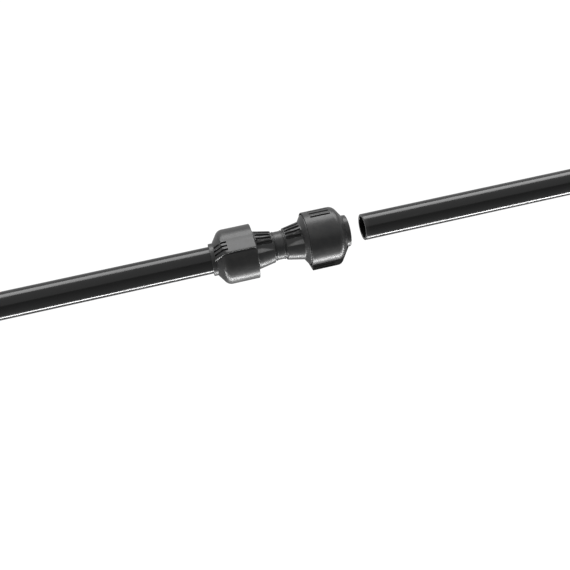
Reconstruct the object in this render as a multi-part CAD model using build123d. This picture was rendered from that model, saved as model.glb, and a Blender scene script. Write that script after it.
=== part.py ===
from build123d import *
import math
import os

# Twist-lock coupling with two tubes, in millimetres. The tubes' common axis is X, +Z is up and
# the origin is the middle of the coupling's neck. Each half is drawn once, opening towards +X.

# Tubes
tube_radius = 12.5
tube_wall = 2.3
tube_chamfer = 0.4
pole_half_length = 300.0  # middle of the neck to a tube's free end
tube_gap = 15.2  # free tube's end to the mouth of the open nut
tube_stop_gap = 0.3

# Fits, measured on the radius
socket_clearance = 0.1
tooth_clearance = 0.06
seal_clearance = 0.15
entry_clearance = 0.4
thread_clearance = 0.4
rim_clearance = 0.25
cone_clearance = 0.3

# Body
stop_lip = 0.2  # how far the tube stop reaches inside the tube's bore
neck_wall = 3.2
neck_half_length = 5.5
bead_height = 0.5
bead_width = 1.4
bead_inset = 0.9
socket_step = 1.6
socket_step_length = 0.3
socket_wall = 5.3
socket_length = 15.8
flange_cone_length = 3.8
flange_land = 1.8
flange_inset = 1.5  # below the nut's outside
tube_stop = 20.0
chamber_start = 34.0
mouth = 42.0
barrel_wall = 4.2
edge_round = 0.4

# Ribbed grip on top of each socket, and the two flats beside it
rib_groove_width = 2.0
rib_groove_depth = 1.5
rib_groove_pitch = 15.5  # degrees
rib_groove_first = 20.0
rib_groove_count = 10
rib_groove_margin = 1.1
flat_angle = 32.0
flat_half_angle = 43.0
flat_wide_angle = 10.0
flat_bulge = 1.1
flat_cut = 9.0

# Seal, bush and washer
seal_section_radius = 1.7
bush_gap = 0.3
bush_seal_gap = 0.45
bush_flange = 2.0
washer_gap = 0.1
washer_thickness = 1.2

# Split grip ring
grip_length = 12.0
grip_base_margin = 1.3  # smaller than the nut's thread, so that it goes in
grip_tip_wall = 2.3
tooth_pitch = 1.7
tooth_depth = 0.6
tooth_count = 5
split_width = 3.0

# Screw thread
thread_lead = 7.2
thread_starts = 2
thread_height = 1.8
thread_thickness = 1.5
thread_root = 0.4  # how deep a thread is set into its wall
body_thread_start = 29.0
body_thread_end = 41.0
nut_thread_start = 30.6
nut_thread_end = 37.8
nut_turn = 140.0  # degrees from closed to open

# Nut
nut_rim = 23.2  # closed
nut_length = 40.5
nut_wall = 2.9
nut_rim_depth = 6.3
nut_bore_end = 42.9
nut_shoulder = 0.8
collar_length = 4.0
collar_wall = 2.1
collar_step = 0.5
collar_lead_in = 0.7
dome_angle = 55.0
dome_round = 7.6
wing_height = 4.8
wing_span = 28.5  # degrees, from the wing's tip to where its flat runs into the nut
wing_sink = 1.0  # how far the flat runs on inside the nut
wing_lean = 12.0  # degrees that the wing's wall leans from the radius
wing_tip_round = 0.5
wing_reach = 1.5  # how far the wing's slope stands outside the dome's, along the nut
wing_end = 1.0  # how far the wing runs on over the collar
slot_width = 1.6
slot_depth = 1.6
slot_pitch = 3.9
slot_first = 3.9  # from the wing's wall
slot_count = 3
slot_start = 25.0  # from the rim
slot_end_margin = 0.9
groove_width = 1.8
groove_depth = 1.4
groove_pitch = 12.5  # degrees
groove_first = -128.0
groove_count = 5
groove_start = 6.0
groove_end = 24.0
wall_groove_width = 0.9
wall_groove_depth = 0.8
wall_groove_places = (1.5, 3.3)  # from the wing's tip, down its wall
wall_groove_start = 1.5
wall_groove_end = 21.5

# How far each nut is turned when closed, seen from its own mouth, and how far it is open at rest
closed_angle = {"left": 6.0, "right": 120.0}
open_share = {"left": 0.0, "right": 1.0}

# Sizes that follow
tube_bore = tube_radius - tube_wall
socket_bore = tube_radius + socket_clearance
flow_bore = tube_bore - stop_lip
neck_radius = flow_bore + neck_wall
socket_start = neck_half_length + socket_step_length
socket_end = socket_start + socket_length
socket_small_radius = neck_radius + socket_step
socket_large_radius = socket_bore + socket_wall
seal_middle_radius = tube_radius + seal_clearance + seal_section_radius
chamber_radius = seal_middle_radius + seal_section_radius + seal_clearance
barrel_radius = chamber_radius + barrel_wall
thread_crest = barrel_radius + thread_height
nut_bore = thread_crest + thread_clearance
nut_thread_crest = barrel_radius + thread_clearance
nut_radius = nut_bore + nut_wall
flange_radius = nut_radius - flange_inset
nut_rim_bore = flange_radius + rim_clearance
nut_entry_bore = tube_radius + entry_clearance
nut_end = nut_rim + nut_length
collar_start = nut_end - collar_length
collar_radius = nut_entry_bore + collar_wall
grip_base_radius = nut_thread_crest - grip_base_margin
grip_tip_radius = tube_radius + grip_tip_wall
nut_travel = thread_lead * nut_turn / 360
seal_place = chamber_start + seal_clearance + seal_section_radius
bush_nose_start = seal_place + seal_section_radius + bush_seal_gap
bush_face = mouth + bush_gap
washer_start = bush_face + bush_flange + washer_gap
grip_start = washer_start + washer_thickness + washer_gap
grip_end = grip_start + grip_length
wing_tip = Vector(nut_radius + wing_height, 0)
wing_foot = Vector(nut_radius, 0).rotate(Axis.Z, wing_span)
wing_along = (wing_foot - wing_tip).normalized()
wing_normal = wing_along.rotate(Axis.Z, -90)
wing_wall = Vector(1, 0).rotate(Axis.Z, wing_lean)


def turned(points, rounds=()):
    """Solid turned about X from (x, radius) corners; rounds holds (corner number, radius) pairs."""
    outline = make_face(Polyline(*points, close=True)).face()
    for corner, radius in rounds:
        place = Vector(*points[corner])
        nearest = outline.vertices().sort_by_distance(place)[0]
        outline = outline.fillet_2d(radius, [nearest])
    return revolve(outline, Axis.X)


def bored(shape, radius, start, end):
    """The shape with a round hole along X."""
    return shape - turned([(start, 0), (start, radius), (end, radius), (end, 0)])


def bar(start, end, width, reach, radius, angle):
    """Box along X, centred on a radius at an angle about X; reach is its size along the radius."""
    block = Pos((start + end) / 2, radius, 0) * Box(end - start, reach, width)
    return Rot(angle, 0, 0) * block


def thread(wall_radius, crest_radius, start, end, angle):
    """Right-handed helical ribs standing on a wall, one for each start; angle is their phase at x = 0."""
    root_radius = wall_radius + math.copysign(thread_root, wall_radius - crest_radius)
    middle = (root_radius + crest_radius) / 2
    height = end - start - thread_thickness
    path = Helix(pitch=thread_lead, height=height, radius=middle)
    section_plane = Plane(origin=path @ 0, x_dir=(1, 0, 0), z_dir=path % 0)
    section = section_plane * Rectangle(abs(crest_radius - root_radius), thread_thickness)
    rib = sweep(section, path, is_frenet=True)
    rib = Pos(start + thread_thickness / 2, 0, 0) * Rot(0, 90, 0) * rib
    phase = angle + 360 * start / thread_lead
    return [Rot(phase + 360 * number / thread_starts, 0, 0) * rib for number in range(thread_starts)]


def socket_cone(inset):
    """The socket's tapered outside, moved inwards by inset."""
    small = socket_small_radius - inset
    large = socket_large_radius - inset
    return turned([(socket_start, 0), (socket_start, small), (socket_end, large), (socket_end, 0)])


def rib_grooves():
    """Lengthwise grooves over the top of the socket, as deep all along."""
    start = socket_start + rib_groove_margin
    end = socket_end - rib_groove_margin
    first = 180 - rib_groove_first
    cutters = []
    for number in range(rib_groove_count):
        angle = first - number * rib_groove_pitch
        cutters.append(bar(start, end, rib_groove_width, socket_large_radius, socket_large_radius, angle))
    core = socket_cone(rib_groove_depth)
    return [cutter - core for cutter in cutters]


def side_flat():
    """Cutter for the flat beside the ribs: as steep as the cone, and running out at the neck."""
    lean = math.radians(flat_angle)
    reach = math.cos(math.radians(flat_half_angle))
    slope = (socket_large_radius - socket_small_radius) * reach / socket_length
    outward = Vector(0, -math.cos(lean), math.sin(lean))
    upward = Vector(0, math.sin(lean), math.cos(lean))
    along = (Vector(1, 0, 0) + outward * slope).normalized()
    origin = Vector(socket_start, 0, 0) + outward * (socket_small_radius * reach)
    flat = Plane(origin=origin, x_dir=along, z_dir=along.cross(upward))
    length = socket_length * math.hypot(1, slope)
    neck_side = -socket_small_radius * math.sin(math.radians(flat_half_angle))
    nut_side = socket_large_radius * math.sin(math.radians(flat_wide_angle - flat_angle))
    middle = (neck_side + nut_side) / 2 + flat_bulge
    edges = [
        ThreePointArc((0, neck_side), (length / 2, middle), (length, nut_side)),
        Line((length, nut_side), (length, -socket_large_radius)),
        Line((length, -socket_large_radius), (0, -socket_large_radius)),
        Line((0, -socket_large_radius), (0, neck_side)),
    ]
    return extrude(flat * make_face(edges), flat_cut)


def body_half():
    """One socket from the middle of the neck outwards, without its thread."""
    flange_start = socket_end + flange_cone_length
    flange_end = flange_start + flange_land
    bead_start = neck_half_length - bead_inset - bead_width
    bead_end = neck_half_length - bead_inset
    outline = [
        (0, 0),
        (0, neck_radius),
        (bead_start, neck_radius),
        (bead_start + bead_height, neck_radius + bead_height),
        (bead_end - bead_height, neck_radius + bead_height),
        (bead_end, neck_radius),
        (neck_half_length, neck_radius),
        (socket_start, socket_small_radius),
        (socket_end, socket_large_radius),
        (flange_start, flange_radius),
        (flange_end, flange_radius),
        (flange_end, barrel_radius),
        (mouth, barrel_radius),
        (mouth, 0),
    ]
    half = turned(outline, [(9, edge_round)])
    front_flat = side_flat()
    half = half - front_flat - mirror(front_flat, Plane.XZ) - rib_grooves()
    half = bored(half, flow_bore, 0, tube_stop)
    half = bored(half, socket_bore, tube_stop, chamber_start)
    return bored(half, chamber_radius, chamber_start, mouth)


def coupling_body():
    """Neck with a socket on each side; the sockets are mirror images, their threads are not."""
    half = body_half()
    body = half + mirror(half, Plane.YZ)
    for side in sides:
        angle = closed_angle[side] + 180 / thread_starts
        ribs = thread(barrel_radius, thread_crest, body_thread_start, body_thread_end, angle)
        body = body + [facing(side) * rib for rib in ribs]
    return body


def nut_dome():
    """Domed cylinder with its collar."""
    foot_radius = collar_radius + collar_step
    shoulder = collar_start - (nut_radius - foot_radius) / math.tan(math.radians(dome_angle))
    corners = [
        (nut_rim, 0),
        (nut_rim, nut_radius),
        (shoulder, nut_radius),
        (collar_start, foot_radius),
        (collar_start, collar_radius),
        (nut_end, collar_radius),
        (nut_end, 0),
    ]
    return turned(corners, [(2, dome_round), (1, edge_round)])


def wing_dome(inset):
    """The larger dome that ends the wing, moved inwards by inset."""
    steep = math.radians(dome_angle)
    foot_radius = collar_radius + collar_step
    slope_foot = collar_start + wing_reach - inset / math.sin(steep)
    top_radius = wing_tip.X - inset
    shoulder = slope_foot - (top_radius - foot_radius) / math.tan(steep)
    end = collar_start + wing_end - inset
    end_radius = foot_radius + (slope_foot - end) * math.tan(steep)
    corners = [
        (nut_rim, 0),
        (nut_rim, top_radius),
        (shoulder, top_radius),
        (end, end_radius),
        (end, 0),
    ]
    return turned(corners, [(2, dome_round), (1, edge_round)])


def nut_skin():
    """The nut's outside: dome and collar, with the grip wing on one side."""
    foot = wing_foot + wing_along * wing_sink
    wall_foot = wing_tip - wing_wall * (wing_tip.X - nut_entry_bore)
    wedge = make_face(Polyline((0, 0), wall_foot, wing_tip, foot, close=True)).face()
    tip = wedge.vertices().sort_by_distance(wing_tip)[0]
    wedge = wedge.fillet_2d(wing_tip_round, [tip])
    wing_plane = Plane(origin=(nut_rim, 0, 0), x_dir=(0, 1, 0), z_dir=(1, 0, 0))
    wing = extrude(wing_plane * wedge, nut_length) & wing_dome(0)
    return nut_dome() + wing


def wall_plane():
    """Plane of the wing's wall: x along the nut, y away from the wing, z out of the nut."""
    return Plane(origin=(0, wing_tip.X, 0), x_dir=(1, 0, 0), z_dir=(0, wing_wall.X, wing_wall.Y))


def wing_slots():
    """Cutters for the slots over the wing's end, side by side with its wall and of one depth."""
    start = nut_rim + slot_start
    end = collar_start + wing_end - slot_end_margin
    flat = Plane(
        origin=(0, wing_tip.X, 0),
        x_dir=(1, 0, 0),
        z_dir=(0, wing_normal.X, wing_normal.Y),
    )
    under = Box(nut_end * 2, wing_tip.X * 4, wing_tip.X * 2)
    floor = flat * Pos(nut_rim, 0, -slot_depth - wing_tip.X) * under
    core = floor & wing_dome(slot_depth)
    cutters = []
    for number in range(slot_count):
        place = slot_first + number * slot_pitch
        block = Box(end - start, slot_width, wing_tip.X)
        cutters.append(wall_plane() * Pos((start + end) / 2, -place, 0) * block - core)
    return cutters


def nut_grooves():
    """Cutters for the grooves on the wing's wall and for the field of grooves opposite."""
    cutters = []
    for number in range(groove_count):
        angle = groove_first - number * groove_pitch
        start = nut_rim + groove_start
        end = nut_rim + groove_end
        cutters.append(bar(start, end, groove_width, groove_depth * 2, nut_radius, angle))
    for place in wall_groove_places:
        start = nut_rim + wall_groove_start
        end = nut_rim + wall_groove_end
        block = Box(end - start, wall_groove_depth * 2, wall_groove_width)
        cutters.append(wall_plane() * Pos((start + end) / 2, 0, -place) * block)
    return cutters


def nut():
    """Closed nut, with its wing's wall at angle zero."""
    inside = [
        (nut_rim, 0),
        (nut_rim, nut_rim_bore),
        (nut_rim + nut_rim_depth, nut_rim_bore),
        (nut_rim + nut_rim_depth, nut_bore),
        (nut_bore_end, nut_bore),
        (nut_bore_end + nut_shoulder, grip_base_radius + cone_clearance),
        (grip_start, grip_base_radius + cone_clearance),
        (grip_end + cone_clearance, grip_tip_radius + cone_clearance),
        (grip_end + cone_clearance, nut_entry_bore),
        (nut_end - collar_lead_in, nut_entry_bore),
        (nut_end, nut_entry_bore + collar_lead_in),
        (nut_end, 0),
    ]
    shell = nut_skin() - turned(inside)
    for cutter in wing_slots() + nut_grooves():
        shell = shell - cutter
    return shell + thread(nut_bore, nut_thread_crest, nut_thread_start, nut_thread_end, 0)


def press_bush():
    """Bush that pushes the seal into its chamber: a nose inside the mouth and a flange outside it."""
    bore = socket_bore
    nose_radius = chamber_radius - cone_clearance
    corners = [
        (bush_nose_start, bore),
        (bush_nose_start, nose_radius),
        (bush_face, nose_radius),
        (bush_face, grip_base_radius),
        (bush_face + bush_flange, grip_base_radius),
        (bush_face + bush_flange, bore),
    ]
    return turned(corners)


def thrust_washer():
    """Flat slip washer between the bush and the grip ring."""
    end = washer_start + washer_thickness
    corners = [
        (washer_start, nut_entry_bore),
        (washer_start, grip_base_radius),
        (end, grip_base_radius),
        (end, nut_entry_bore),
    ]
    return turned(corners)


def grip_ring():
    """Split cone with a row of teeth inside, which the nut's cone closes on the tube."""
    crest = tube_radius + tooth_clearance
    corners = [(grip_start, crest + tooth_depth), (grip_start, grip_base_radius)]
    corners += [(grip_end, grip_tip_radius), (grip_end, crest + tooth_depth)]
    first = (grip_start + grip_end + tooth_count * tooth_pitch) / 2
    for number in range(tooth_count):
        heel = first - number * tooth_pitch
        corners.append((heel, crest + tooth_depth))
        corners.append((heel - tooth_pitch / 2, crest))
    corners.append((first - tooth_count * tooth_pitch, crest + tooth_depth))
    split = bar(grip_start, grip_end, split_width, grip_base_radius * 2, grip_base_radius, 0)
    return turned(corners) - split


def seal_ring():
    """Round-section rubber ring in the socket's chamber."""
    ring = Torus(seal_middle_radius, seal_section_radius)
    return Pos(seal_place, 0, 0) * Rot(0, 90, 0) * ring


def tube(start):
    """Round tube from a start to its free end, with its outer edges broken."""
    end = pole_half_length
    corners = [
        (start, tube_bore),
        (start, tube_radius - tube_chamfer),
        (start + tube_chamfer, tube_radius),
        (end - tube_chamfer, tube_radius),
        (end, tube_radius - tube_chamfer),
        (end, tube_bore),
    ]
    return turned(corners)


def facing(side):
    """Turns a half drawn towards +X end for end when it belongs on the left."""
    return Rot(0, 0, 180) if side == "left" else Rot(0, 0, 0)


def opened(side):
    """Outward move of a side's nut and clamping rings at rest."""
    return Pos(open_share[side] * nut_travel, 0, 0)


sides = ("left", "right")
tube_start = {
    "left": tube_stop + tube_stop_gap,
    "right": nut_end + nut_travel + tube_gap,
}
one_nut = nut()
pieces = {"coupling_body": coupling_body()}
for side in sides:
    turn = closed_angle[side] + open_share[side] * nut_turn
    pieces["nut_" + side] = facing(side) * opened(side) * Rot(turn, 0, 0) * one_nut
    pieces["grip_ring_" + side] = facing(side) * opened(side) * grip_ring()
    pieces["thrust_washer_" + side] = facing(side) * opened(side) * thrust_washer()
    pieces["press_bush_" + side] = facing(side) * opened(side) * press_bush()
    pieces["seal_ring_" + side] = facing(side) * seal_ring()
    pieces["tube_" + side] = facing(side) * tube(tube_start[side])

os.makedirs("parts", exist_ok=True)
for name, shape in pieces.items():
    export_step(shape, "parts/" + name + ".step")
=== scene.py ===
import bpy
import numpy as np
from mathutils import Matrix, Vector


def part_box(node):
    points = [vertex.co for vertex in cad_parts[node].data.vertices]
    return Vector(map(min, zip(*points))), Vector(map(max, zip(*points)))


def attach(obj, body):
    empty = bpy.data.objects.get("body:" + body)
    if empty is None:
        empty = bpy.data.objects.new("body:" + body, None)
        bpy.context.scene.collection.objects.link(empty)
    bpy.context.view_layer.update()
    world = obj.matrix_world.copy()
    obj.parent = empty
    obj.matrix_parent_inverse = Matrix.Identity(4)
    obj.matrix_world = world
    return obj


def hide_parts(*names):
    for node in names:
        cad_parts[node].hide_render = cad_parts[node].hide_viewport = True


# %% [markdown]
# # A twist-lock tube coupling
# The object joins two round tubes end to end. A moulded body has a socket on each side, and a big
# domed nut turns over each socket to clamp its tube. The left tube is already held, the right one
# is about to be pushed in.
#
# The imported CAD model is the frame: it gives every size and place, and moves in the joints. Here
# the visible pieces get finer surfaces and finishes. Lengths are worked out in millimetres, as on
# a drawing, and turned into metres when a mesh is made.

# %% Load the frame
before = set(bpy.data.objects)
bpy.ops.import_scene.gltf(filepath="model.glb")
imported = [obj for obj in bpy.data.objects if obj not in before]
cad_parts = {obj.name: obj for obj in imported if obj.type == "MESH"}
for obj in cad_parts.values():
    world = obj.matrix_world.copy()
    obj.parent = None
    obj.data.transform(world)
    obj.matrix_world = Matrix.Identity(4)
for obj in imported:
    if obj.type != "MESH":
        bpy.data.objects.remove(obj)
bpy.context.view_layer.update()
METRES = 0.001


def edges_mm(node):
    """Lowest and highest corner of a CAD node at rest, in millimetres."""
    low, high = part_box(node)
    return np.array(low) / METRES, np.array(high) / METRES


# %% [markdown]
# ## The camera
# The coupling is held up in the air, at the height of the lens. The lens is a short portrait one,
# about 44 mm on a full frame, some 64 cm away. The tubes run away from the camera to the right by
# about 7 degrees, and the camera is rolled, so that they climb to the right by about 13 degrees.
#
# A camera could be dragged into place, but two lines of numbers say more: in the camera's own axes,
# where the coupling's middle is and which way the tubes point. The axis that faces the camera then
# follows, and the three together are the turn from the object's axes to the camera's.

# %% Camera
LENS_MM = 43.7
SENSOR_MM = 36.0
VIEW_DISTANCE = 0.6434  # metres
RECEDING = np.radians(7.25)
CLIMBING = np.radians(12.73)
AIM_RIGHT = -0.0095  # place of the coupling's middle, as slopes from the middle of the view
AIM_UP = 0.0571
NEAREST_SEEN = 0.02
FURTHEST_SEEN = 50


def camera_place():
    """Camera matrix from the coupling's place and the tubes' direction, both in the camera's axes.

    The way away from the camera is the way to the coupling less its part along the tubes, and up
    is along crossed with away. Those three as rows turn the camera's axes into the object's.
    """
    middle = Vector((AIM_RIGHT, AIM_UP, -1)).normalized() * VIEW_DISTANCE
    along = Vector(
        (
            np.cos(RECEDING) * np.cos(CLIMBING),
            np.cos(RECEDING) * np.sin(CLIMBING),
            -np.sin(RECEDING),
        )
    )
    away = (middle - along * middle.dot(along)).normalized()
    up = along.cross(away)
    turn = Matrix((along, away, up))
    return Matrix.Translation(-(turn @ middle)) @ turn.to_4x4()


def add_camera():
    """Camera object with the lens above, and no depth of field."""
    data = bpy.data.cameras.new("camera")
    data.lens = LENS_MM
    data.sensor_width = SENSOR_MM
    data.clip_start = NEAREST_SEEN
    data.clip_end = FURTHEST_SEEN
    camera = bpy.data.objects.new("camera", data)
    camera.matrix_world = camera_place()
    bpy.context.scene.collection.objects.link(camera)
    bpy.context.scene.camera = camera
    return camera


camera = add_camera()
print("camera at", [round(value, 3) for value in camera.matrix_world.translation])

# %% [markdown]
# ## Sums in a material
# A finish is mostly sums: noise times a strength, one mask less another. Writing those as Python
# expressions keeps them readable. `Term` wraps a socket and turns `+`, `-` and `*` into Math
# nodes, also when a plain number comes first, as in 1 - mask.

# %% Sums of sockets


class Term:
    """A socket in a finish, so that sums on it add Math nodes."""

    def __init__(self, finish, socket):
        self.finish = finish
        self.socket = socket

    def math(self, operation, first, second):
        """Math node of two terms or numbers."""
        return self.finish.node("ShaderNodeMath", {"operation": operation}, {0: first, 1: second})

    def __add__(self, other):
        return self.math("ADD", self, other)

    def __radd__(self, other):
        return self.math("ADD", other, self)

    def __sub__(self, other):
        return self.math("SUBTRACT", self, other)

    def __rsub__(self, other):
        return self.math("SUBTRACT", other, self)

    def __mul__(self, other):
        return self.math("MULTIPLY", self, other)

    def __rmul__(self, other):
        return self.math("MULTIPLY", other, self)


print("sums of sockets ready")

# %% [markdown]
# ## A finish and its nodes
# A finish could be wired by hand in the node editor. In a script, one method that adds any node
# keeps each finish down to a few lines, and the helpers around it say what a node is for: grain
# from noise, a value spread to a new range, a number read from the mesh, a blend and a bump.

# %% Finish helpers
# The Mix node has one set of sockets for each kind of value; these are the ones for colours.
MIX_SHARE, MIX_FIRST, MIX_SECOND, MIX_RESULT = 0, 6, 7, 2


class Finish:
    """A material being made."""

    def __init__(self, name):
        self.material = bpy.data.materials.new(name)
        self.material.use_nodes = True
        self.tree = self.material.node_tree
        self.tree.nodes.clear()

    def node(self, kind, settings=None, inputs=None, output=0):
        """Adds a node: settings first, then socket values or links, and returns one output."""
        made = self.tree.nodes.new(kind)
        for key, value in (settings or {}).items():
            setattr(made, key, value)
        for key, value in (inputs or {}).items():
            if isinstance(value, Term):
                self.tree.links.new(value.socket, made.inputs[key])
            else:
                made.inputs[key].default_value = value
        return Term(self, made.outputs[output]) if len(made.outputs) else None

    def noise(self, grain_mm, detail=2.0, roughness=0.5, stretch=(1, 1, 1)):
        """Noise with grains of about that size, longer along an axis whose stretch is small."""
        place = self.node("ShaderNodeTexCoord", output="Object")
        mapped = self.node("ShaderNodeMapping", None, {"Vector": place, "Scale": stretch})
        inputs = {"Vector": mapped, "Scale": 1 / (grain_mm * METRES)}
        inputs |= {"Detail": detail, "Roughness": roughness}
        return self.node("ShaderNodeTexNoise", None, inputs)

    def spread(self, value, low, high, first=0.0, last=1.0):
        """Value from low to high, turned into first to last, eased at both ends and held there."""
        inputs = {"Value": value, "From Min": low, "From Max": high}
        inputs |= {"To Min": first, "To Max": last}
        return self.node("ShaderNodeMapRange", {"interpolation_type": "SMOOTHSTEP"}, inputs)

    def kept(self, name):
        """A number kept on the mesh's points."""
        return self.node("ShaderNodeAttribute", {"attribute_name": name}, output="Fac")

    def blend(self, share, first, second):
        """Colour that goes from first to second as the share goes from 0 to 1."""
        inputs = {MIX_SHARE: share, MIX_FIRST: first, MIX_SECOND: second}
        return self.node("ShaderNodeMix", {"data_type": "RGBA"}, inputs, output=MIX_RESULT)

    def bump(self, height, depth_mm, under=None):
        """Normal that follows a height of 0 to 1, which stands for that depth."""
        inputs = {"Height": height, "Distance": depth_mm * METRES}
        if under is not None:
            inputs["Normal"] = under
        return self.node("ShaderNodeBump", None, inputs)

    def done(self, **sockets):
        """Ends the finish with a Principled shader and returns the material."""
        named = {key.replace("_", " "): value for key, value in sockets.items()}
        shader = self.node("ShaderNodeBsdfPrincipled", None, named)
        self.node("ShaderNodeOutputMaterial", None, {"Surface": shader})
        return self.material


def grey(value, warmth=0.0):
    """A grey: red is the value times 1 + warmth, and blue is the value times 1 - warmth."""
    return (value * (1 + warmth), value, value * (1 - warmth), 1)


print("finish helpers ready")

# %% [markdown]
# ## Moulded housing plastic
# The body and the nuts are injection moulded from a black engineering plastic. The mould's cavity
# is spark eroded, which leaves a fine, even grain, and the plastic's flow leaves a faint mottling
# in the gloss. Hands polish the edges, and the grooves are dull. The grooves and the insides are
# also darkened to near black in the colour, as painted shade.
#
# Cutting the grain into the mesh would take millions of faces, so it is bump. The wear and the
# painted shade can't come from noise alone, because they follow the shape: each mesh keeps two
# numbers on its points, `rub` on outer edges and `hollow_shade` in grooves and insides, and the
# finish reads them.

# %% Housing finish


def housing_finish():
    """Moulded black plastic: grain and mottle from noise; wear and painted shade from the points.
    """
    finish = Finish("housing_plastic")
    grain = finish.noise(0.32, detail=3.0, roughness=0.6)
    mottle = finish.noise(6.0, detail=4.0, roughness=0.6)
    scuffs = finish.noise(0.5, detail=2.0, stretch=(0.12, 1, 1))
    rub = finish.kept("rub")
    hollow_shade = finish.kept("hollow_shade")
    worn = rub * finish.spread(mottle, 0.35, 0.65, 0.3, 1.0)
    scratched = finish.spread(scuffs, 0.66, 0.74) * 0.5
    dark, pale = grey(0.0225, -0.03), grey(0.0285, 0.01)
    plain = finish.blend(finish.spread(mottle, 0.35, 0.65), dark, pale)
    # Painted shade: in slots, grooves and insides the colour is darkened to near black.
    shaded = finish.blend(hollow_shade * 0.85, plain, grey(0.005))
    colour = finish.blend(worn * 0.6 + scratched * 0.12, shaded, grey(0.045))
    rough = 0.34 + finish.spread(mottle, 0.3, 0.7, -0.025, 0.03) + hollow_shade * 0.22 - worn * 0.06
    rough = rough + finish.spread(grain, 0.3, 0.7, -0.02, 0.03)
    flow = finish.bump(mottle, 0.012)
    skin = finish.bump(grain, 0.003, under=flow)
    return finish.done(Base_Color=colour, Roughness=rough, Normal=skin)


HOUSING = housing_finish()
print("made", HOUSING.name)

# %% [markdown]
# ## Drawn tube
# The tubes are smoother and glossier than the housing, because a tube is pulled through a die and
# not moulded. The die leaves very faint lines along the tube, and sliding in sockets adds fine
# scuffs the same way.
#
# Both come from noise that is stretched along X, so no line has to be drawn one by one.

# %% Tube finish


def tube_finish():
    """Glossy black drawn tube: stretched noise for die lines and for sliding scuffs."""
    finish = Finish("tube_plastic")
    lines = finish.noise(0.5, detail=3.0, roughness=0.6, stretch=(0.012, 1, 1))
    scuffs = finish.noise(0.9, detail=4.0, roughness=0.65, stretch=(0.05, 1, 1))
    cloud = finish.noise(14.0, detail=3.0)
    grain = finish.noise(0.25, detail=2.0)
    rub = finish.kept("rub")
    scratched = finish.spread(scuffs, 0.62, 0.72)
    colour = finish.blend(scratched * 0.2 + rub * 0.5, grey(0.0075, -0.02), grey(0.05))
    rough = 0.16 + finish.spread(cloud, 0.3, 0.7, -0.02, 0.04) + scratched * 0.12 + rub * 0.12
    drawn = finish.bump(lines, 0.006)
    skin = finish.bump(grain, 0.0015, under=drawn)
    return finish.done(Base_Color=colour, Roughness=rough, Normal=skin)


TUBE = tube_finish()
print("made", TUBE.name)

# %% [markdown]
# ## The hidden rings
# Inside each nut sit a split grip ring, a thrust washer, a press bush and a seal. They show only
# through an open nut or in a taken-apart view, and the CAD shapes are right as they are, so they
# stay and only get finishes. The grip ring is acetal, waxy and off-white. The bush and washer are
# a grey bearing plastic with turning marks. The seal is matt rubber with a dusty bloom.

# %% Ring finishes


def acetal_finish():
    """Waxy off-white plastic with faint flow marks."""
    finish = Finish("grip_plastic")
    cloud = finish.noise(3.0, detail=4.0, roughness=0.6)
    grain = finish.noise(0.2, detail=2.0)
    colour = finish.blend(finish.spread(cloud, 0.3, 0.7), grey(0.62, 0.03), grey(0.74, 0.02))
    rough = finish.spread(cloud, 0.3, 0.7, 0.34, 0.44)
    skin = finish.bump(grain, 0.003)
    return finish.done(Base_Color=colour, Roughness=rough, Normal=skin)


def bearing_finish():
    """Grey bearing plastic: rings from turning are noise stretched along the face."""
    finish = Finish("bearing_plastic")
    cloud = finish.noise(2.0, detail=4.0)
    rings = finish.noise(0.35, detail=2.0, stretch=(1, 0.15, 0.15))
    colour = finish.blend(finish.spread(cloud, 0.3, 0.7), grey(0.11), grey(0.17, 0.01))
    rough = finish.spread(rings, 0.3, 0.7, 0.42, 0.56)
    skin = finish.bump(rings, 0.008)
    return finish.done(Base_Color=colour, Roughness=rough, Normal=skin)


def rubber_finish():
    """Matt rubber with a pale bloom in places."""
    finish = Finish("seal_rubber")
    bloom = finish.noise(1.8, detail=5.0, roughness=0.65)
    grain = finish.noise(0.15, detail=2.0)
    colour = finish.blend(finish.spread(bloom, 0.5, 0.75), grey(0.012), grey(0.035, 0.02))
    rough = finish.spread(bloom, 0.3, 0.7, 0.62, 0.78)
    skin = finish.bump(grain, 0.01)
    return finish.done(Base_Color=colour, Roughness=rough, Normal=skin)


RING_FINISHES = {
    "grip_ring": acetal_finish(),
    "thrust_washer": bearing_finish(),
    "press_bush": bearing_finish(),
    "seal_ring": rubber_finish(),
}
for kind, material in RING_FINISHES.items():
    for side in ("left", "right"):
        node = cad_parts[kind + "_" + side]
        node.data.materials.clear()
        node.data.materials.append(material)
print("finished rings:", ", ".join(RING_FINISHES))

# %% [markdown]
# ## Surfaces on a ring-shaped grid
# Every visible piece here is a ring: its wall goes round the tubes' axis and its outline closes on
# itself. So each one is a grid that closes both ways, rows along the outline and columns round the
# axis. It has no poles, no seam and no open edge.
#
# A boolean would leave knife edges and long thin triangles. On a grid, a corner is rounded by
# taking a soft smaller or larger of two heights, and rows and columns crowd together where the
# corners are. The difference between the hard and the soft height also tells where an edge is.

# %% Soft heights


def soft_max(first, second, reach):
    """Larger of two heights with a filled corner: reach log(exp(a/reach) + exp(b/reach))."""
    return reach * np.logaddexp(first / reach, second / reach)


def soft_min(first, second, reach):
    """Smaller of two heights, with the corner taken off."""
    return -soft_max(-first, -second, reach)


def within(value, low, high, edge):
    """1 between low and high, 0 outside, with a straight ramp of that width at both ends."""
    return np.clip(np.minimum(value - low, high - value) / edge + 0.5, 0, 1)


print("a soft 1 or 1 is", round(float(soft_max(1.0, 1.0, 0.3)), 3))

# %% [markdown]
# ## Rows and columns where they are needed
# An even grid would need millions of faces to show a groove a millimetre wide. Rows and columns
# are placed by a density instead: the running sum of the density goes up fast where it is high, so
# even steps of the sum crowd together there. An outline's corners are cut with short parabolas,
# which need no case for inner and outer corners.

# %% Rows and columns
DENSITY_STEPS = 40001
MOST_OF_AN_EDGE = 0.45  # share of an edge that the cut of one corner may take


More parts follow.
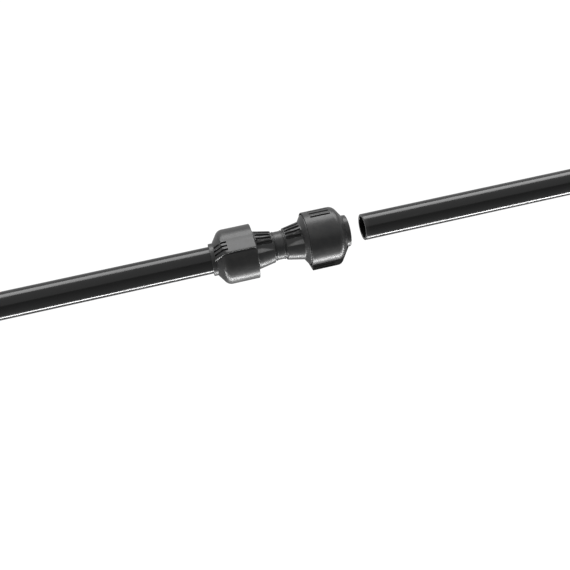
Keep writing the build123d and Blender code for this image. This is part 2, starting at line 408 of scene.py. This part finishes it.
def crowded(start, end, count, bands):
    """Values from start to end at even steps of the summed density.

    The density is 1, and each band of (low, high, more) adds more to it.
    """
    fine = np.linspace(start, end, DENSITY_STEPS)
    weight = np.ones_like(fine)
    for low, high, more in bands:
        weight = weight + more * ((fine > low) & (fine < high))
    total = np.concatenate(([0.0], np.cumsum(weight[1:])))
    return np.interp(np.linspace(0, total[-1], count), total, fine)


def rounded(corners, reach, steps=5):
    """Outline with a parabola at each corner: the corner plus back (1 - t)^2 plus onward t^2."""
    corners = np.array(corners, float)
    back = np.roll(corners, 1, axis=0) - corners
    onward = np.roll(corners, -1, axis=0) - corners
    for side in (back, onward):
        length = np.linalg.norm(side, axis=1, keepdims=True)
        side *= np.minimum(reach, length * MOST_OF_AN_EDGE) / length
    share = np.linspace(0, 1, steps)[None, :, None]
    curve = corners[:, None] + back[:, None] * (1 - share) ** 2 + onward[:, None] * share**2
    return curve.reshape(-1, 2)


def finer(outline, step, plain_step, plain_radius):
    """Closed outline with no two neighbours further apart than a step, longer where it is plain."""
    onward = np.roll(outline, -1, axis=0) - outline
    steps = np.where(outline[:, 1] > plain_radius, step, plain_step)
    parts = np.maximum(np.ceil(np.linalg.norm(onward, axis=1) / steps), 1).astype(int)
    first = np.repeat(np.cumsum(parts) - parts, parts)
    share = (np.arange(parts.sum()) - first) / np.repeat(parts, parts)
    which = np.repeat(np.arange(len(parts)), parts)
    return outline[which] + onward[which] * share[:, None]


print("a third of the steps fall below", crowded(0.0, 1.0, 4, [(0.0, 0.1, 9)])[1].round(3))

# %% [markdown]
# ## From grid to mesh
# The grid's faces all follow one rule, so they are numbered with arrays and not one by one. Which
# way round the faces go depends on the outline's direction. The signed volume tells it: when it is
# negative, every face is turned over.
#
# Each mesh then takes its CAD node's place: it rides on the same body, so the joints move it, and
# the node it replaces is hidden; its finish goes in the mesh's material slot.

# %% Grid to mesh
SHARP_ANGLE = np.radians(50)
BODY_OF = {
    "coupling_body": "coupling",
    "nut_left": "nut_left",
    "nut_right": "nut_right",
    "tube_left": "tube_left",
    "tube_right": "tube_right",
}


def ring_points(x, radius, angle):
    """Points (x, radius times cosine, radius times sine) for rows of x and columns of angle."""
    x, radius, angle = np.broadcast_arrays(x, radius, angle)
    return np.stack((x, radius * np.cos(angle), radius * np.sin(angle)), axis=-1)


def ring_quads(rows, columns):
    """Corner numbers of the faces of a grid that closes both ways."""
    row, column = np.meshgrid(np.arange(rows), np.arange(columns), indexing="ij")
    below = (row + 1) % rows
    beside = (column + 1) % columns
    corners = (row * columns + column, below * columns + column)
    corners += (below * columns + beside, row * columns + beside)
    return np.stack(corners, axis=-1).reshape(-1, 4)


def volume_of(points, quads):
    """Signed volume: the sum of the tetrahedra from the origin to each half of each face."""
    a, b, c, d = (points[quads[:, number]] for number in range(4))
    halves = np.einsum("ij,ij->i", a, np.cross(b, c)) + np.einsum("ij,ij->i", a, np.cross(c, d))
    return halves.sum() / 6


def ring_piece(name, points, numbers, node, material):
    """Mesh object from a grid of points in mm; it replaces a CAD node and rides on its body."""
    rows, columns = points.shape[:2]
    flat = points.reshape(-1, 3) * METRES
    quads = ring_quads(rows, columns)
    if volume_of(flat, quads) < 0:
        quads = quads[:, ::-1]
    mesh = bpy.data.meshes.new(name)
    mesh.from_pydata(flat.tolist(), [], quads.tolist())
    mesh.polygons.foreach_set("use_smooth", np.ones(len(quads), dtype=bool))
    mesh.set_sharp_from_angle(angle=SHARP_ANGLE)
    for key, values in numbers.items():
        wide = np.broadcast_to(values, (rows, columns)).astype(np.float32)
        mesh.attributes.new(key, "FLOAT", "POINT").data.foreach_set("value", wide.ravel())
    mesh.materials.append(material)
    piece = bpy.data.objects.new(name, mesh)
    bpy.context.scene.collection.objects.link(piece)
    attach(piece, BODY_OF[node])
    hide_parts(node)
    low, high = flat.min(axis=0) / METRES, flat.max(axis=0) / METRES
    print(name, rows, "x", columns, "box mm", low.round(2), high.round(2))
    print("  volume cm3", round(abs(volume_of(flat, quads)) * 1e6, 2))
    return piece


print("one grid for each of", ", ".join(BODY_OF))

# %% [markdown]
# ## Screw thread as a height
# A thread could be a profile swept along a helix, but it would then have to be joined to its wall.
# As a height on the same grid it needs no join: the height is 1 where a point is within half a
# thread's thickness of the nearest turn, measured along the axis. Both starts come from counting
# the turns every half lead.

# %% Thread height
THREAD_LEAD = 7.2
THREAD_PITCH = THREAD_LEAD / 2
THREAD_HALF = 0.75
THREAD_HEIGHT = 1.8
THREAD_FLANK = 0.3


def thread_height(x, angle, phase, start, end):
    """Height from 0 to 1 of a two-start right-hand thread between two places along the axis.

    A turn is at lead times the angle over 360, counted from straight down, and again at every
    pitch from there. The height is 1 where x is within half a thread's thickness of a turn.
    """
    turned = (np.degrees(angle) + 90 - phase) / 360 * THREAD_LEAD + THREAD_HALF
    off = (x - turned + THREAD_PITCH / 2) % THREAD_PITCH - THREAD_PITCH / 2
    middle = x - off
    ridge = within(off, -THREAD_HALF, THREAD_HALF, THREAD_FLANK)
    return ridge * within(middle, start + THREAD_HALF, end - THREAD_HALF, THREAD_FLANK)


print("thread with a lead of", THREAD_LEAD, "mm and a turn every", THREAD_PITCH)

# %% [markdown]
# ## The nuts
# Each nut is a domed cylinder with a collar where the tube goes in. One side swells into a grip
# wing: a flat rises to a tip well outside the round, then drops down a steep wall, which the thumb
# pushes against. Three slots are moulded into the wing over the dome, two fine grooves run along
# its wall, and a field of grooves opposite serves the fingers.
#
# Each of these is a plain height as seen from the axis: a cylinder and slope for the dome, a
# distance over a cosine for a flat, a distance over a sine for the leaning wall. The soft smaller
# of flat, wall and crown is the wing, and the soft larger of wing and dome is the nut.

# %% Nut sizes
low, high = edges_mm("nut_left")
NUT_RIM = -high[0]
NUT_END = -low[0]
NUT_TRAVEL = edges_mm("nut_right")[0][0] - NUT_RIM
NUT_RADIUS = 25.5
COLLAR_START = NUT_END - 4.0
COLLAR_RADIUS = 15.0
FOOT_RADIUS = 15.5
DOME_ANGLE = np.radians(55)
DOME_ROUND = 7.6
TIP_RADIUS = NUT_RADIUS + 4.8
WING_LEAN = np.radians(12)
WING_SPAN = np.radians(28.5)
WING_REACH = 1.5
WING_END = COLLAR_START + 1.0
WING_FADE = 0.7  # power by which the wing's reach fades towards its far end
EDGE_ROUND = 0.5
NUT_CLOSED = {"left": 6.0, "right": 120.0}  # degrees
OPENING_TURN = 140.0
NUT_TURN = {"left": NUT_CLOSED["left"], "right": NUT_CLOSED["right"] + OPENING_TURN}
print("nut from", NUT_RIM, "to", NUT_END, "mm, open by", round(NUT_TRAVEL, 3))

# %% Nut height


def flat_of_wing():
    """Angle of the wing's flat and its distance from the axis, from its two ends."""
    tip = np.array((TIP_RADIUS, 0.0))
    foot = NUT_RADIUS * np.array((np.cos(WING_SPAN), np.sin(WING_SPAN)))
    along = (foot - tip) / np.linalg.norm(foot - tip)
    outward = np.array((along[1], -along[0]))
    return np.arctan2(outward[1], outward[0]), outward @ tip


FLAT_ANGLE, FLAT_DISTANCE = flat_of_wing()
WALL_DISTANCE = TIP_RADIUS * np.sin(WING_LEAN)
TIP_SOFTNESS = 0.52
TIP_WORN_DEPTH = 0.25
CROWN_SOFTNESS = 0.3
WING_FOOT_SOFTNESS = 0.12


def dome(x, top, foot):
    """Radius of a dome: level at top, then an arc, then a slope down to the foot radius.

    The arc is top less round plus the root of round squared less the square of the way along it.
    """
    steep = np.tan(DOME_ANGLE)
    shoulder = foot - (top - FOOT_RADIUS) / steep
    arc_start = shoulder - DOME_ROUND * np.tan(DOME_ANGLE / 2)
    arc_length = DOME_ROUND * np.sin(DOME_ANGLE)
    along = np.clip(x - arc_start, 0, arc_length)
    arc = top - DOME_ROUND + np.sqrt(DOME_ROUND**2 - along**2)
    return np.where(x < arc_start + arc_length, arc, FOOT_RADIUS + (foot - x) * steep)


def wing_height(x, angle, inset):
    """Radius of the wing, or of the same wing sunk by inset, and how rubbed its edge is there.

    The flat is its distance over the cosine of the angle from its middle, and the wall its
    distance over the sine of the angle from the wall's own lean. The clips keep both away from
    zero on the far side, where the wing isn't shown.
    """
    flat = (FLAT_DISTANCE - inset) / np.cos(np.clip(angle - FLAT_ANGLE, -1.2, 1.2))
    wall = WALL_DISTANCE / np.sin(np.clip(WING_LEAN - angle, 0.02, 1.5))
    reach = WING_REACH * np.clip(1 - angle / WING_SPAN, 0, 1) ** WING_FADE
    crown = dome(x, TIP_RADIUS - inset, COLLAR_START + reach - inset / np.sin(DOME_ANGLE))
    crown = np.where(x < WING_END, crown, 0)
    hard = np.minimum(flat, wall)
    edge = soft_min(flat, wall, TIP_SOFTNESS)
    worn = np.clip((hard - edge) / TIP_WORN_DEPTH, 0, 1)
    shown = (angle > -0.5) & (angle < FLAT_ANGLE)
    return np.where(shown, soft_min(edge, crown, CROWN_SOFTNESS), 0), worn * shown


print("flat at", round(np.degrees(FLAT_ANGLE), 1), "degrees,", round(FLAT_DISTANCE, 2), "mm out")

# %% [markdown]
# ## Slots and grooves of the nut
# A slot is a band in the distance from the wing's wall, so that the three stay parallel on the
# curved dome. Its floor is the same wing, sunk by the slot's depth. The finger grooves are bands in
# the distance round the nut. A band is 1 inside and 0 outside with a short ramp, and the ramp is
# the groove's draft, which a moulding needs to leave its mould.

# %% Nut outside
SLOT_DEPTH = 1.6
SLOT_HALF = 0.8
SLOT_PITCH = 3.9
SLOT_START = NUT_RIM + 25
SLOT_END = COLLAR_START + 0.1
SLOT_PLACES = (SLOT_PITCH, SLOT_PITCH * 2, SLOT_PITCH * 3)
SLOT_RAMP = 0.22
SLOT_END_RAMP = 0.5
FIELD_FIRST = -128.0
FIELD_PITCH = 12.5
FIELD_COUNT = 5
FIELD_HALF = 0.9
FIELD_DEPTH = 1.4
FIELD_START = NUT_RIM + 6
FIELD_END = NUT_RIM + 24
GROOVE_RAMP = 0.3
FIELD_END_RAMP = 0.7
FAR_OFF = 99.0  # keeps a groove from coming back on the far side of the round


def nut_height(x, angle):
    """Radius of the nut's outside, with how rubbed each point is and its painted shade in grooves.
    """
    base = np.where(x < COLLAR_START, dome(x, NUT_RADIUS, COLLAR_START), COLLAR_RADIUS)
    wing, rub = wing_height(x, angle, 0.0)
    height = soft_max(base, wing, WING_FOOT_SOFTNESS)
    behind = WALL_DISTANCE - height * np.sin(WING_LEAN - angle)  # distance from the wing's wall
    slots = sum(
        within(behind, place - SLOT_HALF, place + SLOT_HALF, SLOT_RAMP) for place in SLOT_PLACES
    )
    slots = slots * within(x, SLOT_START, SLOT_END, SLOT_END_RAMP) * (np.abs(angle) < 0.7)
    floor = np.minimum(height, wing_height(x, angle, SLOT_DEPTH)[0])
    floor = np.maximum(floor, COLLAR_RADIUS)
    height = height + (floor - height) * slots
    field = 0
    for number in range(FIELD_COUNT):
        off = angle - np.radians(FIELD_FIRST - number * FIELD_PITCH)
        off = NUT_RADIUS * np.sin(off) + (np.abs(off) > 1) * FAR_OFF
        field = field + within(off, -FIELD_HALF, FIELD_HALF, GROOVE_RAMP)
    field = field * within(x, FIELD_START, FIELD_END, FIELD_END_RAMP)
    height = height - field * FIELD_DEPTH
    return height, rub + 0 * height, np.clip(slots + field, 0, 1)


print(len(SLOT_PLACES), "slots and", FIELD_COUNT, "finger grooves")

# %% [markdown]
# ## Grid of the nut
# The columns crowd on the wing and on the groove edges, and the rows on the rounded ends and on the
# slots. The two grooves of the wing's wall go in last, as a push square to that wall, because on so
# steep a wall a change of radius would only slide the points along it.

# %% Nut rows and columns
NUT_COLUMNS = 372
NUT_ROWS = 150
NUT_COLUMNS_START = -186.0
GROOVE_EDGE_HALF = 0.6
ROUND_STEPS = 6
WING_BANDS = [(-3.6, 1.0, 40), (1.0, 25.0, 7), (25.0, 34.0, 3)]


def nut_columns():
    """Angles round the nut, crowded on the wing's wall, its slots and the edges of the grooves."""
    bands = list(WING_BANDS)
    half = np.degrees(FIELD_HALF / NUT_RADIUS)
    for number in range(FIELD_COUNT):
        middle = FIELD_FIRST - number * FIELD_PITCH
        for edge in (middle - half, middle + half):
            bands.append((edge - GROOVE_EDGE_HALF, edge + GROOVE_EDGE_HALF, 10))
    first, last = NUT_COLUMNS_START, NUT_COLUMNS_START + 360
    return np.radians(crowded(first, last, NUT_COLUMNS + 1, bands)[:-1])


def nut_outside():
    """Rows of x along the outside, from the rim to the end, with an edge rounding at both ends."""
    bends = EDGE_ROUND * (1 - np.cos(np.linspace(0, np.pi / 2, ROUND_STEPS)))[:-1]
    bands = [
        (NUT_RIM, NUT_RIM + 2.5, 2),
        (SLOT_START - 0.8, SLOT_START + 0.8, 4),
        (NUT_RIM + 23, NUT_RIM + 25, 3),
        (NUT_RIM + 5, NUT_RIM + 7, 3),
        (SLOT_START, COLLAR_START, 3),
        (COLLAR_START - 0.2, WING_END + 0.3, 8),
    ]
    middle = crowded(NUT_RIM + EDGE_ROUND, NUT_END - EDGE_ROUND, NUT_ROWS, bands)
    x = np.concatenate((NUT_RIM + bends, middle, NUT_END - bends[::-1]))[:, None]
    into = np.clip(np.minimum(x - NUT_RIM, NUT_END - x), 0, EDGE_ROUND)
    return x, EDGE_ROUND - np.sqrt(EDGE_ROUND**2 - (EDGE_ROUND - into) ** 2)


print("nut columns", len(nut_columns()), "and outside rows", len(nut_outside()[0]))

# %% [markdown]
# ## Inside of the nut
# The inside is a plain turned shape: a hole for the tube, a cone that presses the grip ring, the
# threaded part and a wide rim that clears the flange. It is drawn as corners, and only the threaded
# part gets many rows, because the thread is cut into it as a height.

# %% Nut pieces
HOLE_RADIUS = 12.9
HOLE_CHAMFER = 0.7
CONE_START, CONE_SMALL = 58.0, 15.1
CONE_END, CONE_LARGE = 45.7, 19.8
RELIEF_START, RELIEF_END = 43.7, 42.9
THREADED_START, THREADED_RADIUS = 42.7, 22.6
THREADED_STEP = 0.26
RIM_DEPTH, RIM_RADIUS = 6.3, 24.25
RIM_CHAMFER, RIM_MOUTH = 1.4, 24.85
NUT_THREAD = (30.6, 37.8)
THREAD_ROOM = (29.6, 42.8)
WALL_GROOVES = (1.5, 3.3)
WALL_GROOVE_HALF = 0.45
WALL_GROOVE_RAMP = 0.25
WALL_GROOVE_DEPTH = 0.8
WALL_GROOVE_START, WALL_GROOVE_END = NUT_RIM + 1.5, NUT_RIM + 21.5
WALL_GROOVE_END_RAMP = 0.6
ON_THE_WALL = 0.12  # mm


def nut_inside():
    """Rows of (x, radius) along the inside, from the end to the rim, without the thread."""
    hole = [(NUT_END, HOLE_RADIUS + HOLE_CHAMFER), (NUT_END - HOLE_CHAMFER, HOLE_RADIUS)]
    hole += [(CONE_START, HOLE_RADIUS)]
    cone = [(CONE_START, CONE_SMALL), (CONE_END, CONE_LARGE), (RELIEF_START, CONE_LARGE)]
    cone += [(RELIEF_END, THREADED_RADIUS)]
    places = np.arange(THREADED_START, NUT_RIM + RIM_DEPTH + 0.1, -THREADED_STEP)
    threaded = [(x, THREADED_RADIUS) for x in places]
    rim = [(NUT_RIM + RIM_DEPTH, THREADED_RADIUS), (NUT_RIM + RIM_DEPTH, RIM_RADIUS)]
    rim += [(NUT_RIM + RIM_CHAMFER, RIM_RADIUS), (NUT_RIM, RIM_MOUTH)]
    return np.array(hole + cone + threaded + rim)


def nut_points():
    """Whole closed nut on its grid, in its own frame, with its rub and its painted shade."""
    angle = nut_columns()[None, :]
    x, drop = nut_outside()
    height, rub, hollow_shade = nut_height(x, angle)
    outside = ring_points(x, height - drop, angle)
    wall = np.array((0.0, np.cos(WING_LEAN), np.sin(WING_LEAN)))
    inward = np.array((0.0, -np.sin(WING_LEAN), np.cos(WING_LEAN)))
    down = np.array((0.0, TIP_RADIUS, 0.0)) @ wall - outside @ wall
    from_wall = np.abs(WALL_DISTANCE - height * np.sin(WING_LEAN - angle))
    lines = sum(
        within(down, place - WALL_GROOVE_HALF, place + WALL_GROOVE_HALF, WALL_GROOVE_RAMP)
        for place in WALL_GROOVES
    )
    lines = lines * within(x, WALL_GROOVE_START, WALL_GROOVE_END, WALL_GROOVE_END_RAMP)
    lines = lines * (from_wall < ON_THE_WALL) * (angle < 0)
    outside = outside + inward * (WALL_GROOVE_DEPTH * lines)[..., None]
    # The two wall grooves get painted shade too.
    hollow_shade = np.clip(hollow_shade + lines, 0, 1)
    inner = nut_inside()
    inner_x = inner[:, :1]
    ridge = thread_height(inner_x, angle, 0.0, *NUT_THREAD)
    ridge = ridge * (inner_x < THREAD_ROOM[1]) * (inner_x > THREAD_ROOM[0])
    inner_radius = inner[:, 1:] - THREAD_HEIGHT * ridge
    inside = ring_points(inner_x, inner_radius, angle)
    still = np.zeros(inside.shape[:2])
    # Painted shade: the whole inside of the nut is marked to go near black.
    numbers = {"rub": np.vstack((rub, still)), "hollow_shade": np.vstack((hollow_shade, still + 1))}
    return np.concatenate((outside, inside)), numbers


def placed(points, side, turn, out):
    """Points turned about X and moved out, then end for end when they belong on the left."""
    spin = np.radians(turn)
    x, y, z = np.moveaxis(points, -1, 0)
    y, z = y * np.cos(spin) - z * np.sin(spin), y * np.sin(spin) + z * np.cos(spin)
    sign = -1 if side == "left" else 1
    return np.stack((sign * (x + out), sign * y, z), axis=-1)


shape, numbers = nut_points()
for side, out in (("left", 0.0), ("right", NUT_TRAVEL)):
    node = "nut_" + side
    points = placed(shape, side, NUT_TURN[side], out)
    ring_piece("grip_nut_" + side, points, numbers, node, HOUSING)

# %% [markdown]
# ## The body
# Between the nuts shows the middle of the body: a short neck with a bead on each side, then a
# socket that widens like a cone to a thin flange, which nearly fills the nut's rim. Ribs run over
# the top of each socket, and beside them a curved flat is cut on the front and on the back.
#
# The outline is drawn once as corners and carried round. Ribs and flats are heights again: a flat
# is a distance over a cosine, and its curved upper edge a second distance over a sine.

# %% Body outline
SOCKET_START = 5.8
SOCKET_END = 21.6
SOCKET_SMALL = 14.8
SOCKET_LARGE = 17.9
MOUTH = 42.0
FLANGE_START, FLANGE_END, FLANGE_RADIUS = 25.4, 27.2, 23.5
THREADED_CORE = 20.4
NECK_RADIUS = 13.2
BEAD_RADIUS = 13.7
SEAL_FLOOR, SEAL_CHAMBER = 34.0, 16.2
TUBE_STOP, TUBE_SEAT, FLOW_BORE = 20.0, 12.6, 10.0

HALF_OUTSIDE = [
    (3.2, NECK_RADIUS),
    (3.6, BEAD_RADIUS),
    (4.1, BEAD_RADIUS),
    (4.6, NECK_RADIUS),
    (5.5, NECK_RADIUS),
    (SOCKET_START, SOCKET_SMALL),
    (SOCKET_END, SOCKET_LARGE),
    (FLANGE_START, FLANGE_RADIUS),
    (FLANGE_END, FLANGE_RADIUS),
    (FLANGE_END, THREADED_CORE),
    (MOUTH, THREADED_CORE),
]
HALF_INSIDE = [
    (MOUTH, SEAL_CHAMBER),
    (SEAL_FLOOR, SEAL_CHAMBER),
    (SEAL_FLOOR, TUBE_SEAT),
    (TUBE_STOP, TUBE_SEAT),
    (TUBE_STOP, FLOW_BORE),
]


def mirrored(corners):
    """The same corners on the other side, in the order in which an outline goes on."""
    return [(-x, radius) for x, radius in reversed(corners)]


OUTER_FROM = 12.9  # the narrow bore is below this radius, the outside above it
ROW_STEP = 0.64
HIDDEN_ROW_STEP = 6.0
corners = mirrored(HALF_OUTSIDE) + HALF_OUTSIDE + HALF_INSIDE + mirrored(HALF_INSIDE)
BODY_OUTLINE = finer(rounded(corners, 0.35, steps=4), ROW_STEP, HIDDEN_ROW_STEP, OUTER_FROM)
print("body outline has", len(BODY_OUTLINE), "points")

# %% Body height
RIB_FIRST = 160.0
RIB_PITCH = 15.5
RIB_COUNT = 10
RIB_HALF = 1.25
RIB_DEPTH = 1.5
FLAT_LEAN = np.radians(32)
FLAT_HALF = np.radians(43)
FLAT_WIDE = np.radians(10)
FLAT_BULGE = 1.1
BANK_LEAN = np.radians(62)  # how far the bank from the flat up to the ribs leans back
FLAT_SOFTNESS = 0.15
SOCKET_LENGTH = SOCKET_END - SOCKET_START


def flat_height(x, side_angle):
    """Radius of a flat and its bank, from the angle above the horizontal on its own side.

    The flat is its distance over the cosine of the angle from its middle. The bank is a plane
    through the flat's upper edge, and its radius is a distance over a sine. The larger is kept.
    """
    share = np.clip((x - SOCKET_START) / SOCKET_LENGTH, 0, 1)
    distance = (SOCKET_SMALL + (SOCKET_LARGE - SOCKET_SMALL) * share) * np.cos(FLAT_HALF)
    neck_edge = SOCKET_SMALL * np.sin(FLAT_HALF)
    nut_edge = SOCKET_LARGE * np.sin(FLAT_LEAN - FLAT_WIDE)
    edge = neck_edge * (1 - share) + nut_edge * share - FLAT_BULGE * 4 * share * (1 - share)
    off = side_angle - FLAT_LEAN
    below = (off < 0) & (off > -np.pi / 2)
    off = np.clip(off, -1.4, 0.0)
    bank = distance * np.sin(BANK_LEAN) + edge * np.cos(BANK_LEAN)
    cut = soft_max(distance / np.cos(off), bank / np.sin(BANK_LEAN - off), FLAT_SOFTNESS)
    return np.where(below, cut, FAR_OFF)


print("flat is", round(SOCKET_SMALL * np.cos(FLAT_HALF), 2), "mm from the axis at the neck")

# %% [markdown]
# ## Grid of the body
# Ribs, flats and threads all act on the radius, so one formula for each is enough for the whole
# piece. The columns crowd at the edges of the rib grooves and of the flats. The rows of the narrow
# bore get no height and need no detail, so they are far apart.

# %% Body grid
BODY_COLUMNS = 312
BODY_COLUMNS_START = -90.0
RIB_EDGE_HALF = 0.7
RIB_START, RIB_END = SOCKET_START + 1.1, SOCKET_END - 1.1
RIB_END_RAMP = 0.6
FLAT_BANDS = [(166, 196, 3), (-16, 14, 3)]
BODY_THREAD = (29.0, 41.0)
THREAD_FROM = THREADED_CORE - 0.5
FACED_WORN_DEPTH = 0.09
FLANGE_WORN = 0.6
FLANGE_WORN_START, FLANGE_WORN_END = FLANGE_START - 0.5, FLANGE_END - 1.0


def body_points():
    """Body on its grid, with its rub and its painted shade."""
    bands = []
    half = np.degrees(RIB_HALF / SOCKET_LARGE)
    for number in range(RIB_COUNT):
        middle = RIB_FIRST - number * RIB_PITCH
        for edge in (middle - half, middle + half):
            bands.append((edge - RIB_EDGE_HALF, edge + RIB_EDGE_HALF, 7))
    bands += FLAT_BANDS
    first, last = BODY_COLUMNS_START, BODY_COLUMNS_START + 360
    angle = np.radians(crowded(first, last, BODY_COLUMNS + 1, bands)[:-1])[None, :]
    x = BODY_OUTLINE[:, :1]
    radius = BODY_OUTLINE[:, 1:]
    far = np.abs(x)
    outer = radius > OUTER_FROM
    ribs = 0
    for number in range(RIB_COUNT):
        off = angle - np.radians(RIB_FIRST - number * RIB_PITCH)
        off = radius * np.sin(off) + (np.abs(off) > 1) * FAR_OFF
        ribs = ribs + within(off, -RIB_HALF, RIB_HALF, GROOVE_RAMP)
    ribs = ribs * within(far, RIB_START, RIB_END, RIB_END_RAMP) * outer
    height = radius + 0 * angle
    around = (angle + np.pi / 2) % (2 * np.pi) - np.pi / 2
    front = flat_height(far, np.pi - around)
    back = flat_height(far, around)
    cut = np.minimum(front, back)
    in_socket = within(far, SOCKET_START, SOCKET_END, 0.1) * outer
    faced = soft_min(height, cut, FLAT_SOFTNESS)
    worn = np.clip((np.minimum(height, cut) - faced) / FACED_WORN_DEPTH, 0, 1) * in_socket
    height = height + (faced - height) * in_socket - RIB_DEPTH * ribs
    for side, closed in NUT_CLOSED.items():
        own = np.pi - angle if side == "left" else angle
        ridge = thread_height(far, own, closed + 90, *BODY_THREAD)
        here = (x < 0) if side == "left" else (x > 0)
        height = height + THREAD_HEIGHT * ridge * here * (radius > THREAD_FROM)
    flange = within(far, FLANGE_WORN_START, FLANGE_WORN_END, 0.2) * (radius > FLANGE_RADIUS - 0.5)
    rub = np.clip(worn + flange * FLANGE_WORN, 0, 1)
    # Painted shade: the rib grooves, the narrow bore and the threaded part inside the nut go near
    # black.
    hollow_shade = np.clip(ribs + (1 - outer) + (far > FLANGE_WORN_END), 0, 1)
    return ring_points(x, height, angle), {"rub": rub, "hollow_shade": hollow_shade}


points, numbers = body_points()
ring_piece("socket_body", points, numbers, "coupling_body", HOUSING)

# %% [markdown]
# ## The tubes
# A tube is the plainest ring: four corners carried round the axis. What makes it look real is its
# broken edge, which catches the light at the open end, so the corners are rounded and the rim gets
# its own wear.

# %% Tubes
TUBE_RADIUS = 12.5
TUBE_BORE = 10.2
TUBE_COLUMNS = 224
BROKEN_EDGE = 0.45
WORN_LENGTH = 1.2


def tube_points(start, end):
    """Tube wall on its grid; wear is exp(-distance from the end / worn length)."""
    corners = [(start, TUBE_BORE), (start, TUBE_RADIUS), (end, TUBE_RADIUS), (end, TUBE_BORE)]
    outline = rounded(corners, BROKEN_EDGE, steps=6)
    outline = finer(outline, step=4.0, plain_step=8.0, plain_radius=TUBE_BORE)
    angle = np.linspace(0, 2 * np.pi, TUBE_COLUMNS, endpoint=False)[None, :]
    x, radius = outline[:, :1], outline[:, 1:]
    from_end = np.minimum(np.abs(x - start), np.abs(x - end))
    rub = np.exp(-from_end / WORN_LENGTH) * (radius > TUBE_BORE + 0.3)
    return ring_points(x, radius, angle), {"rub": rub}


for side in ("left", "right"):
    low, high = edges_mm("tube_" + side)
    points, numbers = tube_points(low[0], high[0])
    ring_piece("pole_tube_" + side, points, numbers, "tube_" + side, TUBE)

# %% [markdown]
# ## Light
# Dark, half-glossy plastic is drawn by what it mirrors, much more than by the light that falls on
# it. So the lights are placed by mirror angles, counted round the tubes from the camera's side. A
# long softbox hangs above the tubes, slightly towards the camera, and shows as the broad grey band
# on top. A narrow strip below and behind shows as the thin bright line underneath.
#
# A room as white as it looks would also wash out every mirror image. So the world is white when it
# is looked at, and dimmer for what it lights and for what is mirrored.

# %% Studio
ROOM_LIGHT = 0.6
ROOM_SEEN = 1.05
TOWARDS_CAMERA = (camera.matrix_world.translation * Vector((0, 1, 1))).normalized()
ABOVE = Vector((1, 0, 0)).cross(TOWARDS_CAMERA) * -1


def long_light(name, from_front, distance, width, length, brightness):
    """Area light along the tubes, at an angle above the camera's direction, turned to the axis.

    Its power is brightness times area times pi, so a bigger light isn't a brighter mirror image.
    """
    turn = np.radians(from_front)
    outward = TOWARDS_CAMERA * np.cos(turn) + ABOVE * np.sin(turn)
    data = bpy.data.lights.new(name, "AREA")
    data.shape = "RECTANGLE"
    data.size = length
    data.size_y = width
    data.energy = brightness * width * length * np.pi
    light = bpy.data.objects.new(name, data)
    along = Vector((1, 0, 0))
    light.matrix_world = Matrix((along, outward.cross(along), outward)).transposed().to_4x4()
    light.matrix_world.translation = outward * distance
    light.visible_camera = False
    bpy.context.scene.collection.objects.link(light)
    return light


long_light("softbox", from_front=84, distance=0.95, width=0.52, length=2.2, brightness=5.0)
long_light("strip", from_front=-110, distance=0.42, width=0.055, length=1.4, brightness=30.0)


def white_room():
    """World that is white to look at, and dimmer for what it lights and for mirror images."""
    made = bpy.data.worlds.new("room")
    made.use_nodes = True
    tree = made.node_tree
    seen = tree.nodes.new("ShaderNodeLightPath").outputs["Is Camera Ray"]
    strength = tree.nodes.new("ShaderNodeMapRange")
    strength.inputs["To Min"].default_value = ROOM_LIGHT
    strength.inputs["To Max"].default_value = ROOM_SEEN
    tree.links.new(seen, strength.inputs["Value"])
    tree.nodes["Background"].inputs["Color"].default_value = (1, 1, 1, 1)
    tree.links.new(strength.outputs["Result"], tree.nodes["Background"].inputs["Strength"])
    return made


world = white_room()
bpy.context.scene.world = world
bpy.context.scene.view_settings.view_transform = "Standard"
print("above is", [round(value, 3) for value in ABOVE])

# %% [markdown]
# ## Floor
# The coupling is held well above a plain white floor. The floor is a big round sheet of grid
# points that lies far below the object, so its shadow is only a breath. Like the room, it is white
# when it is looked at: there it glows a little. For light and mirror images it is a grey sheet, so
# that the strip stays the one bright thing under the tubes.

# %% Floor
FLOOR_DEPTH = 0.5
FLOOR_RADIUS = 9.0
FLOOR_MIRRORED = 0.3
FLOOR_GLOW = 0.62
FLOOR_FIRST_RADIUS = 0.05
FLOOR_CIRCLES = 12
FLOOR_COLUMNS = 48


def floor_sheet():
    """Level disc: circles of points, wider apart further out, round a small first circle."""
    radius = np.geomspace(FLOOR_FIRST_RADIUS, FLOOR_RADIUS, FLOOR_CIRCLES)[:, None]
    angle = np.linspace(0, 2 * np.pi, FLOOR_COLUMNS, endpoint=False)[None, :]
    depth = np.full((FLOOR_CIRCLES, FLOOR_COLUMNS), -FLOOR_DEPTH)
    circles = (radius * np.cos(angle), radius * np.sin(angle), depth)
    points = np.stack(circles, axis=-1).reshape(-1, 3)
    quads = ring_quads(FLOOR_CIRCLES, FLOOR_COLUMNS)[: (FLOOR_CIRCLES - 1) * FLOOR_COLUMNS]
    mesh = bpy.data.meshes.new("floor")
    mesh.from_pydata(points.tolist(), [], quads.tolist() + [list(range(FLOOR_COLUMNS))])
    finish = Finish("floor_paper")
    fibre = finish.noise(2.0, detail=3.0)
    seen = finish.node("ShaderNodeLightPath", output="Is Camera Ray")
    paper = finish.blend(finish.spread(fibre, 0.3, 0.7), grey(0.86), grey(0.9))
    colour = finish.blend(seen, grey(FLOOR_MIRRORED), paper)
    glow = {"Emission_Color": grey(1.0), "Emission_Strength": seen * FLOOR_GLOW}
    mesh.materials.append(finish.done(Base_Color=colour, Roughness=0.9, **glow))
    return bpy.data.objects.new("floor", mesh)


floor = floor_sheet()
bpy.context.scene.collection.objects.link(floor)
print("floor", FLOOR_DEPTH, "m below")
